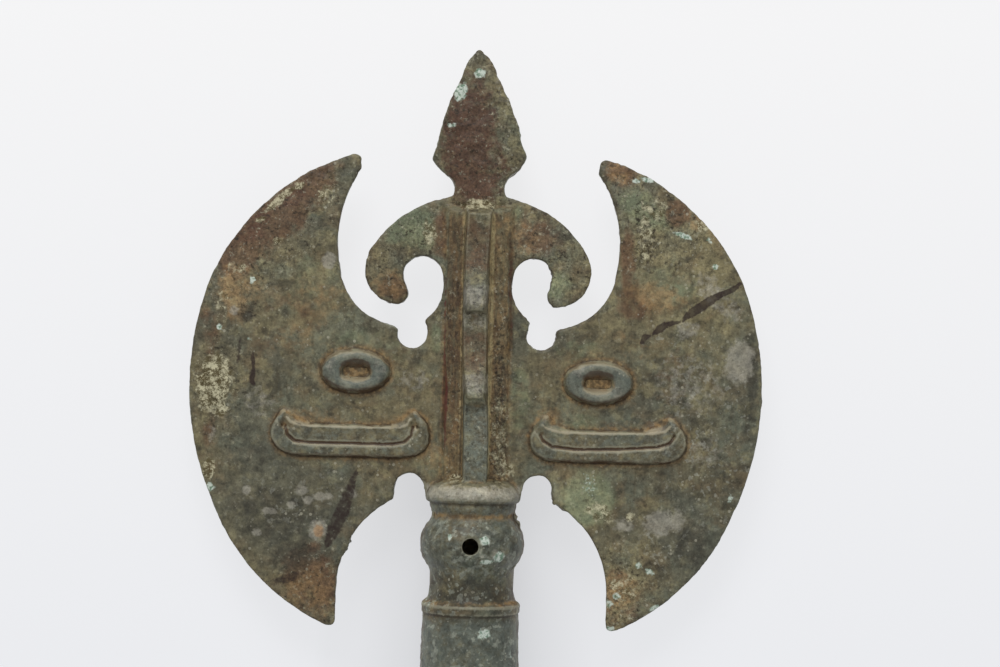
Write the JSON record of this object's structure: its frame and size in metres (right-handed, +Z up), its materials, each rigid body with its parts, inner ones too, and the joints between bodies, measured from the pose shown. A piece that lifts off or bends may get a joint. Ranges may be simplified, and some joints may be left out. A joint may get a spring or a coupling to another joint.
{
  "type": "bronze axe head",
  "caption": "Double-bladed bronze axe head with a spear tip, volutes, a barbed fin, relief faces and a tubular shaft socket, lying on its back.",
  "frame": {"origin": "bottom centre of the part's box, where it lies on its back", "axes": "+Y along the shaft's axis to the spear tip, +X across the blades, +Z up out of the front face"},
  "size_m": [0.1806, 0.2394, 0.0322],
  "materials": {
    "bronze": "matt olive-brown archaeological patina with earth in the crevices"
  },
  "bodies": {
    "root": {"axe_head": "bronze"}
  },
  "joints": []
}
